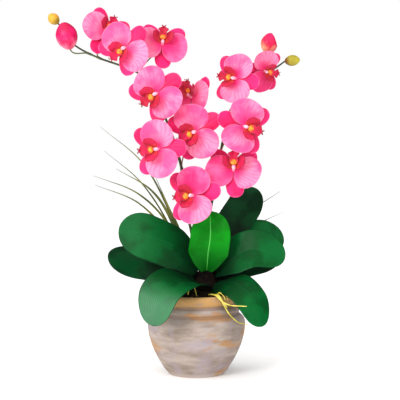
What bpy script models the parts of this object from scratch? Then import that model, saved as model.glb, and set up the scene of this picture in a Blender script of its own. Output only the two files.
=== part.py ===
"""A potted moth orchid: an urn pot, potting mix, a whorl of leaves and two arching flower spikes.

Units are metres, +Z is up, and the viewer's side of the plant is -Y. The origin is the centre of
the pot's flat foot.
"""

import math

import bmesh
import bpy
from mathutils import Matrix, Vector

MM = 0.001
TOUCH_GAP = 0.3 * MM  # between pieces that rest on each other

# Pot, turned about Z
POT_HEIGHT = 135 * MM
POT_FOOT_RADIUS = 47 * MM
POT_SHOULDER_RADIUS = 81 * MM
POT_SHOULDER_HEIGHT = 86 * MM
POT_RIM_RADIUS = 66.5 * MM
POT_WALL = 7 * MM
POT_STEPS = 32

# Potting mix and the crown that the leaves grow from
MIX_EDGE_HEIGHT = 124 * MM
MIX_TOP_HEIGHT = 140 * MM
MIX_TOP_RADIUS = 34 * MM
CROWN_PLACE = Vector((17, 0, 0)) * MM
CROWN_HEIGHT = 46 * MM
# Its radius at shares of its height: a broad base of old leaf feet under a narrow stem
CROWN_PROFILE = ((0, 22), (0.12, 23), (0.32, 19), (0.56, 15), (0.80, 12), (0.93, 9))

# Leaves
LEAF_THICKNESS = 1.8 * MM
LEAF_ROWS = 8
LEAF_COLUMNS = 4

# Flowers: a petal's length runs from the centre of the flower to its tip
PETAL_LENGTH = 46 * MM
PETAL_WIDTH = 60 * MM
SEPAL_LENGTH = 45 * MM
SEPAL_WIDTH = 26 * MM
TEPAL_THICKNESS = 1.2 * MM
TEPAL_START = 1.5 * MM  # every tepal's root lies inside the hub
HUB_RADIUS = 3.6 * MM
# Half widths along a tepal, as (share of the length, share of the half width)
PETAL_OUTLINE = ((0, 0.08), (0.22, 0.60), (0.50, 1.00), (0.84, 0.80), (1, 0.26))
SEPAL_OUTLINE = ((0, 0.22), (0.30, 0.84), (0.66, 0.92), (1, 0.22))
HUB_BACK = 6 * MM
HUB_FRONT = 1 * MM

# Stems
STEM_BASE_RADIUS = 2.4 * MM
STEM_TIP_RADIUS = 1.4 * MM
PEDICEL_RADIUS = 1.2 * MM
ROOT_RADIUS = 1.3 * MM
GRASS_WIDTH = 3.4 * MM
GRASS_THICKNESS = 1.0 * MM

COLOURS = {
    "pot_clay": ((0.62, 0.52, 0.44), 0.85),
    "potting_mix": ((0.03, 0.02, 0.015), 0.95),
    "leaf_green": ((0.01, 0.16, 0.05), 0.35),
    "leaf_young": ((0.03, 0.32, 0.03), 0.35),
    "stem_green": ((0.06, 0.09, 0.03), 0.5),
    "petal_pink": ((0.95, 0.16, 0.38), 0.6),
    "lip_red": ((0.80, 0.01, 0.09), 0.45),
    "bud_green": ((0.45, 0.42, 0.05), 0.5),
    "bud_pink": ((0.85, 0.06, 0.25), 0.5),
    "root_yellow": ((0.60, 0.55, 0.12), 0.6),
    "grass_green": ((0.16, 0.20, 0.06), 0.6),
}


# ---------------------------------------------------------------- helpers


def millimetres(points):
    return [Vector(point) * MM for point in points]


def make_material(slot):
    colour, roughness = COLOURS[slot]
    material = bpy.data.materials.new(slot)
    material.use_nodes = True
    shader = material.node_tree.nodes["Principled BSDF"]
    shader.inputs["Base Color"].default_value = (*colour, 1)
    shader.inputs["Roughness"].default_value = roughness
    shader.inputs["Metallic"].default_value = 0
    return material


def add_object(name, mesh, slot=None):
    obj = bpy.data.objects.new(name, mesh)
    bpy.context.scene.collection.objects.link(obj)
    if slot:
        mesh.materials.clear()
        mesh.materials.append(MATERIALS[slot])
    return obj


def mesh_from(bm, name):
    bmesh.ops.recalc_face_normals(bm, faces=bm.faces)
    mesh = bpy.data.meshes.new(name)
    bm.to_mesh(mesh)
    bm.free()
    mesh.shade_smooth()
    return mesh


def evaluated_mesh(obj, name):
    """The mesh that an object's modifiers give, as a mesh of its own."""
    graph = bpy.context.evaluated_depsgraph_get()
    mesh = bpy.data.meshes.new_from_object(obj.evaluated_get(graph))
    mesh.name = name
    return mesh


def union(pieces, name):
    """One closed mesh out of several overlapping objects, which are used up."""
    base, *others = pieces
    for other in others:
        join = base.modifiers.new("join", "BOOLEAN")
        join.operation = "UNION"
        join.object = other
    mesh = evaluated_mesh(base, name)
    for piece in pieces:
        bpy.data.objects.remove(piece)
    return mesh


def smooth_line(points, count):
    """Evenly numbered points on a Catmull-Rom curve through the given ones."""
    ends = [points[0] * 2 - points[1], *points, points[-1] * 2 - points[-2]]
    line = []
    for i in range(count):
        along = i / (count - 1) * (len(points) - 1)
        span = min(int(along), len(points) - 2)
        t = along - span
        a, b, c, d = ends[span : span + 4]
        line.append(
            0.5
            * (
                2 * b
                + (c - a) * t
                + (2 * a - 5 * b + 4 * c - d) * t**2
                + (3 * b - a - 3 * c + d) * t**3
            )
        )
    return line


def arc(start, leave, arrive, end, count):
    """Points on a Bezier curve that leaves and arrives along the two handles."""
    line = []
    for i in range(count):
        t = i / (count - 1)
        u = 1 - t
        line.append(
            start * u**3 + leave * 3 * u**2 * t + arrive * 3 * u * t**2 + end * t**3
        )
    return line


def tube(name, line, radius, tip_radius, bevel_resolution=1):
    """A round, capped stem along a line of points, tapering from radius to tip_radius."""
    data = bpy.data.curves.new(name, "CURVE")
    data.dimensions = "3D"
    data.bevel_depth = radius
    data.bevel_resolution = bevel_resolution
    data.use_fill_caps = True
    count = len(line)
    spline = data.splines.new("POLY")
    spline.points.add(count - 1)
    for i, (place, point) in enumerate(zip(line, spline.points)):
        point.co = (*place, 1)
        point.radius = 1 + (tip_radius / radius - 1) * i / (count - 1)
    curve = bpy.data.objects.new(name, data)
    bpy.context.scene.collection.objects.link(curve)
    mesh = evaluated_mesh(curve, name)
    bpy.data.objects.remove(curve)
    bm = bmesh.new()
    bm.from_mesh(mesh)
    bmesh.ops.remove_doubles(bm, verts=bm.verts, dist=0.01 * MM)
    bpy.data.meshes.remove(mesh)
    return add_object(name, mesh_from(bm, name))


def sheet(name, rows, thickness):
    """A thin closed solid on a grid of points: each row runs across the sheet."""
    bm = bmesh.new()
    grid = [[bm.verts.new(point) for point in row] for row in rows]
    for row, after in zip(grid, grid[1:]):
        for j in range(len(row) - 1):
            bm.faces.new((row[j], row[j + 1], after[j + 1], after[j]))
    obj = add_object(name, mesh_from(bm, name))
    solidify = obj.modifiers.new("thickness", "SOLIDIFY")
    solidify.thickness = thickness
    solidify.offset = 0
    return obj


def ball(name, size, place, segments, rings, turn=Matrix()):
    """An ellipsoid of the given half sizes."""
    bm = bmesh.new()
    bmesh.ops.create_uvsphere(bm, u_segments=segments, v_segments=rings, radius=1)
    shape = Matrix.Translation(place) @ turn @ Matrix.Diagonal((*size, 1))
    bmesh.ops.transform(bm, matrix=shape, verts=bm.verts)
    return add_object(name, mesh_from(bm, name))


def turned(name, profile, steps):
    """A solid of revolution about Z whose profile starts and ends on the axis."""
    bm = bmesh.new()
    points = [bm.verts.new((radius, 0, height)) for radius, height in profile]
    edges = [bm.edges.new(pair) for pair in zip(points, points[1:])]
    bmesh.ops.spin(
        bm,
        geom=points + edges,
        cent=(0, 0, 0),
        axis=(0, 0, 1),
        angle=math.tau,
        steps=steps,
    )
    bmesh.ops.remove_doubles(bm, verts=bm.verts, dist=0.01 * MM)
    return mesh_from(bm, name)


# ---------------------------------------------------------------- pot and mix


def pot_inside(height):
    """The inner radius of the pot at a height below its neck."""
    share = (height - POT_WALL) / (POT_SHOULDER_HEIGHT - POT_WALL)
    widest = POT_SHOULDER_RADIUS - POT_WALL
    return POT_FOOT_RADIUS - 4 * MM + (widest - POT_FOOT_RADIUS + 4 * MM) * math.sin(
        share * math.pi / 2
    )


def pot_profile():
    foot_edge = 1.5 * MM
    outside = [(0, 0), (POT_FOOT_RADIUS - foot_edge, 0), (POT_FOOT_RADIUS, foot_edge)]
    for share in (0.2, 0.4, 0.6, 0.8, 1):
        swell = math.sin(share * math.pi / 2) ** 0.85
        radius = POT_FOOT_RADIUS + (POT_SHOULDER_RADIUS - POT_FOOT_RADIUS) * swell
        outside.append((radius, foot_edge + (POT_SHOULDER_HEIGHT - foot_edge) * share))
    neck = POT_RIM_RADIUS
    outside += [
        (neck + 12 * MM, POT_SHOULDER_HEIGHT + 9 * MM),
        (neck + 4 * MM, POT_SHOULDER_HEIGHT + 17 * MM),  # groove above the shoulder
        (neck + 3 * MM, POT_SHOULDER_HEIGHT + 24 * MM),  # neck ring
        (neck - 2 * MM, POT_SHOULDER_HEIGHT + 31 * MM),  # groove under the lip
        (neck, POT_HEIGHT - 13 * MM),
        (neck + 1 * MM, POT_HEIGHT - 6 * MM),
        (neck - 1 * MM, POT_HEIGHT - 1 * MM),
        (neck - 4 * MM, POT_HEIGHT),
        (neck - POT_WALL, POT_HEIGHT - 2 * MM),
    ]
    inside = [
        (neck - POT_WALL - 2 * MM, POT_HEIGHT - 16 * MM),
        (neck - POT_WALL + 4 * MM, POT_SHOULDER_HEIGHT + 14 * MM),
    ]
    for share in (1, 0.65, 0.3, 0):
        height = POT_WALL + (POT_SHOULDER_HEIGHT - POT_WALL) * share
        inside.append((pot_inside(height), height))
    inside.append((0, POT_WALL))
    return outside + inside


def mix_profile():
    """The mix fills the pot to just below its lip and heaps up to a flat top."""
    bottom = POT_WALL + TOUCH_GAP
    profile = [(0, bottom)]
    for share in (0, 0.3, 0.65, 1):
        height = POT_WALL + (POT_SHOULDER_HEIGHT - POT_WALL) * share
        inside = pot_inside(height) - 2 * TOUCH_GAP
        profile.append((inside, max(height, bottom)))
    neck = POT_RIM_RADIUS - POT_WALL - 2 * TOUCH_GAP
    profile += [
        (neck + 3.4 * MM, POT_SHOULDER_HEIGHT + 13 * MM),
        (neck - 2.4 * MM, POT_HEIGHT - 16 * MM),
        (neck - 2.4 * MM, MIX_EDGE_HEIGHT),
        (MIX_TOP_RADIUS + 9 * MM, MIX_EDGE_HEIGHT + 10 * MM),
        (MIX_TOP_RADIUS, MIX_TOP_HEIGHT),
        (0, MIX_TOP_HEIGHT),
    ]
    return profile


def crown(name, gap=0, slot=None):
    """The short stem that carries the leaves, standing on the mix, or a copy bigger by a gap."""
    bottom = MIX_TOP_HEIGHT + TOUCH_GAP
    profile = [(0, bottom - gap)]
    for share, radius in CROWN_PROFILE:
        profile.append((radius * MM + gap, bottom + CROWN_HEIGHT * share))
    profile[1] = (profile[1][0], bottom - gap)
    profile.append((0, bottom + CROWN_HEIGHT + gap))
    obj = add_object(name, turned(name, profile, 16), slot)
    obj.location = CROWN_PLACE
    return obj


# ---------------------------------------------------------------- leaves

# Each leaf: its midrib from the crown outwards, its full width, the way its flat side leans (a
# vector across the blade at mid length), and how deep the blade is folded along the midrib.
LEAVES = {
    "leaf_left_upper": {
        "midrib": [(4, -3, 172), (-28, -14, 207), (-80, -30, 232), (-126, -36, 244)],
        "width": 80,
        "across": (0.12, -0.38, -0.92),
        "fold": 5,
    },
    "leaf_left_lower": {
        "midrib": [(3, 5, 160), (-42, 20, 176), (-100, 26, 184), (-148, 22, 194)],
        "width": 62,
        "across": (-0.05, -0.60, -0.80),
        "fold": 6,
    },
    "leaf_front_left": {
        "midrib": [(6, -11, 150), (-26, -58, 164), (-56, -96, 146), (-67, -112, 97)],
        "width": 72,
        "across": (0.78, -0.52, -0.35),
        "fold": -4,
    },
    "leaf_front_upright": {
        "midrib": [(17, -15, 172), (19, -28, 202), (23, -37, 234), (22, -32, 272)],
        "width": 66,
        "across": (1, 0, -0.05),
        "fold": 6,
    },
    "leaf_right_upper": {
        "midrib": [(31, -3, 169), (60, -22, 195), (98, -34, 210), (143, -42, 193)],
        "width": 66,
        "across": (0.10, -0.45, -0.90),
        "fold": 5,
    },
    "leaf_back_right": {
        "midrib": [(27, 10, 180), (48, 28, 226), (76, 42, 268), (104, 46, 302)],
        "width": 60,
        "across": (0.78, 0.10, -0.60),
        "fold": 5,
    },
    "leaf_right_middle": {
        "midrib": [(30, 7, 166), (66, 34, 206), (108, 46, 225), (146, 44, 208)],
        "width": 56,
        "across": (0.10, -0.55, -0.83),
        "fold": 5,
    },
    "leaf_right_lower": {
        "midrib": [(31, 2, 153), (66, 14, 162), (102, 20, 172), (134, 18, 180)],
        "width": 44,
        "across": (0.05, -0.80, -0.55),
        "fold": 6,
    },
    "leaf_front_right": {
        "midrib": [(28, -11, 149), (62, -50, 157), (90, -76, 134), (105, -88, 92)],
        "width": 56,
        "across": (-0.62, -0.55, -0.55),
        "fold": -4,
    },
}


def leaf_outline(t):
    """The share of a leaf's width at t along it: a narrow sheath, then broad, with a round tip."""
    sheath = 0.20 + 0.80 * min(1, max(0, (t - 0.02) / 0.40)) ** 0.8
    tip = math.sqrt(max(0.03, 1 - max(0, (t - 0.62) / 0.38) ** 2.4))
    return sheath * tip


def leaf(name, shape, socket):
    """A blade whose foot is cut to sit against the crown."""
    midrib = smooth_line(millimetres(shape["midrib"]), LEAF_ROWS + 1)
    across = Vector(shape["across"]).normalized()
    rows = []
    for i, place in enumerate(midrib):
        ahead = midrib[min(i + 1, LEAF_ROWS)] - midrib[max(i - 1, 0)]
        ahead.normalize()
        side = (across - ahead * across.dot(ahead)).normalized()
        face = side.cross(ahead)
        half = shape["width"] / 2 * MM * leaf_outline(i / LEAF_ROWS)
        fold = shape["fold"] * MM * leaf_outline(i / LEAF_ROWS)
        row = []
        for j in range(LEAF_COLUMNS + 1):
            u = 2 * j / LEAF_COLUMNS - 1
            row.append(place + side * half * u + face * fold * abs(u) ** 1.5)
        rows.append(row)
    blade = sheet(name, rows, LEAF_THICKNESS)
    foot = blade.modifiers.new("foot", "BOOLEAN")
    foot.operation = "DIFFERENCE"
    foot.object = socket
    mesh = evaluated_mesh(blade, name)
    bpy.data.objects.remove(blade)
    slot = "leaf_young" if name == "leaf_front_upright" else "leaf_green"
    return add_object(name, mesh, slot)


# ---------------------------------------------------------------- flowers

# Each flower: its centre, its size beside a full-grown one, the way it faces (yaw to the viewer's
# right, then up), and where its lip points on a clock face seen by the viewer, in degrees
# clockwise from six o'clock.
FLOWERS = {
    "flower_left_1": {"at": (-147, -8, 564), "size": 0.88, "yaw": 18, "up": 10, "clock": 212},
    "flower_left_2": {"at": (-114, -44, 536), "size": 0.96, "yaw": -14, "up": 0, "clock": 45},
    "flower_left_3": {"at": (-55, -25, 543), "size": 0.90, "yaw": 5, "up": 18, "clock": 185},
    "flower_left_4": {"at": (-63, -58, 463), "size": 1.00, "yaw": -12, "up": 0, "clock": 50},
    "flower_left_5": {"at": (-8, -16, 457), "size": 0.90, "yaw": -40, "up": 16, "clock": 172},
    "flower_left_6": {"at": (-2, -48, 402), "size": 1.00, "yaw": -6, "up": 0, "clock": 62},
    "flower_left_7": {"at": (-61, -72, 375), "size": 1.00, "yaw": -12, "up": 0, "clock": 84},
    "flower_left_8": {"at": (-6, -60, 300), "size": 1.00, "yaw": -10, "up": 4, "clock": 82},
    "flower_right_1": {"at": (110, -16, 500), "size": 0.78, "yaw": 25, "up": -14, "clock": 274},
    "flower_right_2": {"at": (63, -42, 487), "size": 0.90, "yaw": -24, "up": 5, "clock": 98},
    "flower_right_3": {"at": (77, -64, 411), "size": 0.98, "yaw": 10, "up": 0, "clock": 290},
    "flower_right_4": {"at": (60, -44, 340), "size": 1.00, "yaw": 0, "up": 24, "clock": 180},
}


def tepal(name, angle, size, outline, lift, curl):
    """A petal or sepal: angle is anticlockwise from +X, lift its root's height above the hub."""
    length, width = size
    turn = Matrix.Rotation(math.radians(angle), 3, "Z")
    rows = []
    for t, share in outline:
        reach = TEPAL_START + (length - TEPAL_START) * t
        middle = lift + curl * t**2
        half = width / 2 * share
        edge = middle - 0.10 * half
        row = [(reach, -half, edge), (reach, 0, middle), (reach, half, edge)]
        rows.append([turn @ Vector(point) for point in row])
    return sheet(name, rows, TEPAL_THICKNESS)


def bloom_mesh():
    """Two broad petals in front of three narrower sepals, joined at a small hub."""
    bm = bmesh.new()
    bmesh.ops.create_cone(
        bm,
        segments=6,
        radius1=HUB_RADIUS * 0.6,
        radius2=HUB_RADIUS,
        depth=HUB_BACK + HUB_FRONT,
        cap_ends=True,
        matrix=Matrix.Translation((0, 0, (HUB_FRONT - HUB_BACK) / 2)),
    )
    pieces = [add_object("hub", mesh_from(bm, "hub"))]
    # Each root lies at a slightly different height, so that none lies in another's plane.
    sepal_size = (SEPAL_LENGTH, SEPAL_WIDTH)
    for angle, lift in ((91, -2.6), (222, -3.2), (319, -3.8)):
        pieces.append(tepal("sepal", angle, sepal_size, SEPAL_OUTLINE, lift * MM, 4 * MM))
    petal_size = (PETAL_LENGTH, PETAL_WIDTH)
    for angle, lift in ((171, -0.9), (8, -0.3)):
        pieces.append(tepal("petal", angle, petal_size, PETAL_OUTLINE, lift * MM, 5 * MM))
    return union(pieces, "bloom")


def lip_mesh():
    """The column, the two side lobes that stand up beside it, and the tongue below."""
    front = HUB_FRONT + TOUCH_GAP
    # Each piece: half sizes, centre and the axis and degrees it is turned by
    shapes = {
        "column": ((4.2, 4.9, 7), (0, 0, 7), "X", 20),
        "tongue": ((7, 12.6, 2.8), (0, -12.6, 8.8), "X", -35),
        "lobe_left": ((8.4, 7, 2.2), (-7.3, -6.3, 9.8), "Y", 60),
        "lobe_right": ((8.4, 7, 2.2), (7.3, -6.3, 9.8), "Y", -60),
    }
    pieces = []
    for name, (size, place, axis, degrees) in shapes.items():
        turn = Matrix.Rotation(math.radians(degrees), 4, axis)
        centre = Vector(place) * MM + Vector((0, 0, front))
        pieces.append(ball(name, Vector(size) * MM, centre, 6, 4, turn))
    return union(pieces, "lip")


def facing(flower):
    """The rotation that takes a flower from facing +Z, lip towards -Y, to its own pose."""
    upright = Matrix.Rotation(math.radians(90), 3, "X")
    roll = Matrix.Rotation(math.radians(-flower["clock"]), 3, "Z")
    pitch = Matrix.Rotation(math.radians(-flower["up"]), 3, "X")
    yaw = Matrix.Rotation(math.radians(flower["yaw"]), 3, "Z")
    return yaw @ pitch @ upright @ roll


def flowers():
    bloom = bloom_mesh()
    lip = lip_mesh()
    for name, flower in FLOWERS.items():
        place = Matrix.Translation(Vector(flower["at"]) * MM)
        for part, mesh, slot in (
            ("petals", bloom, "petal_pink"),
            ("lip", lip, "lip_red"),
        ):
            obj = add_object(f"{name}_{part}", mesh, slot)
            obj.matrix_world = place @ facing(flower).to_4x4() @ Matrix.Scale(flower["size"], 4)


# ---------------------------------------------------------------- spikes and buds

# The stems run from the crown's top, and stalks says where each flower's stalk leaves its stem,
# as a share of the stem's length.
SPIKES = {
    "spike_left": {
        "stem": [
            (9, 4, 186),
            (-11, 2, 247),
            (-25, 0, 343),
            (-51, 2, 423),
            (-88, 4, 489),
            (-120, 2, 507),
            (-164, 0, 523),
            (-203, 6, 545),
            (-224.5, -8, 576.5),
        ],
        "stalks": {
            "flower_left_8": 0.10,
            "flower_left_6": 0.24,
            "flower_left_7": 0.27,
            "flower_left_5": 0.33,
            "flower_left_4": 0.40,
            "flower_left_3": 0.50,
            "flower_left_2": 0.62,
            "flower_left_1": 0.73,
            "bud_left_large": 0.78,
        },
    },
    "spike_right": {
        "stem": [
            (23, 4, 186),
            (23, 2, 263),
            (33, 0, 322),
            (43, 2, 383),
            (58, 4, 440),
            (99, 10, 481),
            (144.6, 1.4, 515.6),
        ],
        "stalks": {
            "flower_right_4": 0.28,
            "flower_right_3": 0.44,
            "flower_right_2": 0.62,
            "flower_right_1": 0.74,
            "bud_right_opening": 0.80,
        },
    },
}

# Each bud: its centre, half sizes across and along, and the way its tip points.
BUDS = {
    "bud_left_tip": {
        "at": (-232, -8, 584), "size": (9, 10), "tip": (-0.7, 0, 0.7), "slot": "bud_green",
    },
    "bud_left_large": {
        "at": (-210, -20, 556), "size": (17, 22), "tip": (-0.4, -0.3, 0.87), "slot": "bud_pink",
    },
    "bud_right_opening": {
        "at": (120, 14, 545), "size": (14, 17), "tip": (0.15, -0.2, 1), "slot": "bud_pink",
    },
    "bud_right_tip": {
        "at": (157, 0, 517), "size": (9, 12), "tip": (0.95, -0.1, 0.1), "slot": "bud_green",
    },
}


def bud(name, shape):
    across, along = shape["size"]
    aim = Vector(shape["tip"]).to_track_quat("Z", "Y").to_matrix().to_4x4()
    size = Vector((across, across, along)) * MM
    place = Vector(shape["at"]) * MM
    obj = ball(name, size, place, 10, 7, aim)
    obj.data.materials.append(MATERIALS[shape["slot"]])
    return obj


def stalk_end(name):
    """Where a stalk ends behind a flower or under a bud, and the way it arrives there."""
    if name in FLOWERS:
        owner = FLOWERS[name]
        ahead = facing(owner) @ Vector((0, 0, 1))
        back = HUB_BACK * owner["size"] + TOUCH_GAP
    else:
        owner = BUDS[name]
        ahead = Vector(owner["tip"]).normalized()
        back = owner["size"][1] * MM + TOUCH_GAP
    return Vector(owner["at"]) * MM - ahead * back, ahead


def spike(name, shape):
    """One stem with the stalks of its flowers and buds."""
    stem_points = millimetres(shape["stem"])
    line = smooth_line(stem_points, 30)
    pieces = [tube(name, line, STEM_BASE_RADIUS, STEM_TIP_RADIUS)]
    fine = smooth_line(stem_points, 101)
    for owner, share in shape["stalks"].items():
        end, ahead = stalk_end(owner)
        step = round(share * 100)
        start = fine[step]
        along = (fine[step + 1] - start).normalized()
        reach = (end - start).length
        stalk = arc(start, start + along * reach * 0.35, end - ahead * reach * 0.45, end, 7)
        pieces.append(tube("stalk", stalk, PEDICEL_RADIUS, PEDICEL_RADIUS, 0))
    return add_object(name, union(pieces, name), "stem_green")


# Air roots, from the mix over the pot's rim. The loop stands on the mix.
ROOTS = {
    "root_over_rim_long": [
        (26, -36, 135.2), (36, -56, 138), (44, -58, 123), (52.5, -57, 108.4), (62, -53, 97.7),
        (71, -45, 90.5), (84, -36, 87),
    ],
    "root_over_rim_short": [
        (20, -36, 137.4), (31, -58, 138), (43, -68, 128.5), (55, -84, 125.7), (69, -98, 126.9),
        (80, -103, 127),
    ],
    "root_over_rim_curled": [
        (34, -34, 132.8), (40, -46, 141), (48, -54, 137.5), (51, -59, 130),
    ],
    "root_loop": [
        (-14, -38, 137.4), (-11, -43, 146), (-4, -45, 149.5), (1, -43, 135.6),
    ],
}

# Grass blades, each from its tuft in the mix to its tip.
GRASS = {
    "grass_left": [
        [(-8, 29, 141), (-36, 44, 240), (-86, 40, 342), (-160, 30, 408)],
        [(-9, 30, 141), (-42, 56, 232), (-92, 52, 312), (-154, 40, 367)],
        [(-10, 28, 141), (-46, 52, 238), (-98, 46, 295), (-172, 34, 326)],
        [(-11, 29, 141), (-46, 50, 222), (-98, 42, 280), (-169, 28, 311)],
        [(-7, 28, 141), (-38, 40, 240), (-74, 36, 300), (-134, 30, 338)],
        [(-6, 29, 141), (-26, 32, 225), (-45, 28, 270), (-67, 24, 322)],
    ],
    "grass_right": [
        [(14, 30, 141), (40, 58, 205), (88, 64, 260), (141, 58, 298)],
        [(15, 31, 141), (46, 62, 200), (98, 68, 238), (150, 62, 264)],
        [(13, 30, 141), (30, 54, 215), (46, 62, 265), (66, 60, 306)],
    ],
}


def root(name, points):
    line = smooth_line(millimetres(points), 9)
    obj = tube(name, line, ROOT_RADIUS, ROOT_RADIUS * 0.6)
    obj.data.materials.append(MATERIALS["root_yellow"])
    return obj


def blade(points):
    """A grass blade: a flat strip that narrows to a point."""
    count = 6
    line = smooth_line(millimetres(points), count)
    rows = []
    for i, place in enumerate(line):
        ahead = (line[min(i + 1, count - 1)] - line[max(i - 1, 0)]).normalized()
        side = ahead.cross(Vector((0, -1, 0))).normalized()
        half = GRASS_WIDTH / 2 * (1 - 0.8 * i / (count - 1))
        rows.append([place - side * half, place + side * half])
    return sheet("blade", rows, GRASS_THICKNESS)


def grass(name, blades):
    """A tuft: its blades rise from one small clump on the mix."""
    starts = millimetres([points[0] for points in blades])
    middle = sum(starts, Vector()) / len(starts)
    clump_place = (middle.x, middle.y, MIX_TOP_HEIGHT + TOUCH_GAP + 5 * MM)
    clump = ball("clump", Vector((5, 4, 5)) * MM, clump_place, 6, 4)
    return add_object(name, union([clump, *map(blade, blades)], name), "grass_green")


# ---------------------------------------------------------------- the whole plant


def main():
    pot = turned("pot", pot_profile(), POT_STEPS)
    add_object("pot", pot, "pot_clay")
    add_object("potting_mix", turned("potting_mix", mix_profile(), 20), "potting_mix")
    crown("crown", slot="stem_green")
    socket = crown("socket", TOUCH_GAP)
    for name, shape in LEAVES.items():
        leaf(name, shape, socket)
    bpy.data.objects.remove(socket)
    for name, shape in SPIKES.items():
        spike(name, shape)
    flowers()
    for name, shape in BUDS.items():
        bud(name, shape)
    for name, points in ROOTS.items():
        root(name, points)
    for name, blades in GRASS.items():
        grass(name, blades)


for leftover in list(bpy.data.objects):
    bpy.data.objects.remove(leftover)
MATERIALS = {slot: make_material(slot) for slot in COLOURS}
main()
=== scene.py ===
import math
import random

import bpy
from mathutils import Matrix, Vector, noise


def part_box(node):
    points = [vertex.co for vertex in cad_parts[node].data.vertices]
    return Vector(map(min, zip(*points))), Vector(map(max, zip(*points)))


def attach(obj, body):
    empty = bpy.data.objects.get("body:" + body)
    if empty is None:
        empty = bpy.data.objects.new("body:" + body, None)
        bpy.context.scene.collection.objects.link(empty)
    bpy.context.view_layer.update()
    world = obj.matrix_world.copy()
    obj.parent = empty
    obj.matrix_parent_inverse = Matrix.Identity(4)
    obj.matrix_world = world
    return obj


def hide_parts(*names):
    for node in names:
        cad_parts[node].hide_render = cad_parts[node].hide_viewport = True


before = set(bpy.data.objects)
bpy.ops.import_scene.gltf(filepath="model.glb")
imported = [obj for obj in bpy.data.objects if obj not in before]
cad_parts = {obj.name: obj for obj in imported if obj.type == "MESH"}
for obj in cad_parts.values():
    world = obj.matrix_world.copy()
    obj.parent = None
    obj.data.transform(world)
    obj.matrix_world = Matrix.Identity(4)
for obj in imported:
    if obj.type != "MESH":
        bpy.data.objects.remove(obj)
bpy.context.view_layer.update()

mm = 0.001
print("stage: frame loaded")


def clearPick():
    if bpy.context.object and bpy.context.object.mode != "OBJECT":
        bpy.ops.object.mode_set(mode="OBJECT")
    bpy.ops.object.select_all(action="DESELECT")


def pickOnly(*things):
    clearPick()
    for thing in things:
        thing.select_set(True)
    bpy.context.view_layer.objects.active = things[0]


def applyModifiers(thing):
    pickOnly(thing)
    for modifier in list(thing.modifiers):
        bpy.ops.object.modifier_apply(modifier=modifier.name)


def settle(thing):
    # the place, turn and scale go into the mesh, and the object stays at the origin
    pickOnly(thing)
    bpy.ops.object.transform_apply(location=True, rotation=True, scale=True)


def smoothAll(thing):
    pickOnly(thing)
    bpy.ops.object.shade_smooth()


def closeUp(thing):
    # merges doubles and points every face outwards
    pickOnly(thing)
    bpy.ops.object.mode_set(mode="EDIT")
    bpy.ops.mesh.select_all(action="SELECT")
    bpy.ops.mesh.remove_doubles(threshold=0.00002)
    bpy.ops.mesh.normals_make_consistent(inside=False)
    bpy.ops.object.mode_set(mode="OBJECT")


def joinAll(things):
    pickOnly(*things)
    if len(things) > 1:
        bpy.ops.object.join()
    return bpy.context.object


def copyOf(thing):
    pickOnly(thing)
    bpy.ops.object.duplicate(linked=False)
    return bpy.context.object


def placeIn(thing, matrix):
    thing.matrix_world = matrix @ thing.matrix_world
    settle(thing)


def paint(thing, finish):
    thing.data.materials.clear()
    thing.data.materials.append(finish)


def keep(thing, name, node, finish=None):
    # a finished piece gets its name, rides on the one body and stands for its CAD node
    thing.name = thing.data.name = name
    if finish:
        paint(thing, finish)
    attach(thing, "root")
    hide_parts(node)


def inMm(points):
    return [Vector(point) * mm for point in points]


def growSheet(across, along, place):
    # a grid whose points go where place(u, v) says, u from -1 to 1 and v from 0 to 1
    clearPick()
    bpy.ops.mesh.primitive_grid_add(
        x_subdivisions=across, y_subdivisions=along, size=2, location=(0, 0, 0)
    )
    sheet = bpy.context.object
    for point in sheet.data.vertices:
        point.co = place(point.co.x, (point.co.y + 1) / 2)
    return sheet


def thicken(sheet, thickness, levels=0):
    # a wall round the sheet, rounded off by subdivision levels
    wall = sheet.modifiers.new("thickness", "SOLIDIFY")
    wall.thickness = thickness
    wall.offset = 0
    if levels:
        soft = sheet.modifiers.new("soft", "SUBSURF")
        soft.levels = soft.render_levels = levels
    applyModifiers(sheet)
    smoothAll(sheet)


def growRings(sides, rings, foot=(0, 0, 0)):
    # a turned form: a disc is extruded from ring to ring, each (radius, height) in mm
    clearPick()
    x, y, z = foot
    rings = [(radius * mm, z + height * mm) for radius, height in rings]
    radius, height = rings[0]
    bpy.ops.mesh.primitive_circle_add(
        vertices=sides, radius=radius, fill_type="NGON", location=(x, y, height)
    )
    form = bpy.context.object
    bpy.ops.object.mode_set(mode="EDIT")
    for nextRadius, nextHeight in rings[1:]:
        rise, scale = nextHeight - height, nextRadius / radius
        bpy.ops.mesh.extrude_region_move(TRANSFORM_OT_translate={"value": (0, 0, rise)})
        bpy.ops.transform.resize(value=(scale, scale, 1), center_override=(x, y, nextHeight))
        radius, height = nextRadius, nextHeight
    bpy.ops.object.mode_set(mode="OBJECT")
    settle(form)
    closeUp(form)
    return form


def alongLine(points, t):
    # a place on a smooth curve through the points, t from 0 to 1
    ends = [points[0] * 2 - points[1], *points, points[-1] * 2 - points[-2]]
    reach = t * (len(points) - 1)
    span = min(int(reach), len(points) - 2)
    t = reach - span
    a, b, c, d = ends[span : span + 4]
    turn = 2 * a - 5 * b + 4 * c - d
    tail = 3 * b - a - 3 * c + d
    return 0.5 * (2 * b + (c - a) * t + turn * t * t + tail * t * t * t)


def smoothRoute(points, count):
    return [alongLine(points, i / (count - 1)) for i in range(count)]


def arcRoute(start, leave, arrive, end, count):
    # a bow from start to end that sets out towards leave and comes in from arrive
    route = []
    for i in range(count):
        t = i / (count - 1)
        u = 1 - t
        route.append(start * u**3 + leave * 3 * u * u * t + arrive * 3 * u * t * t + end * t**3)
    return route


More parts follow.
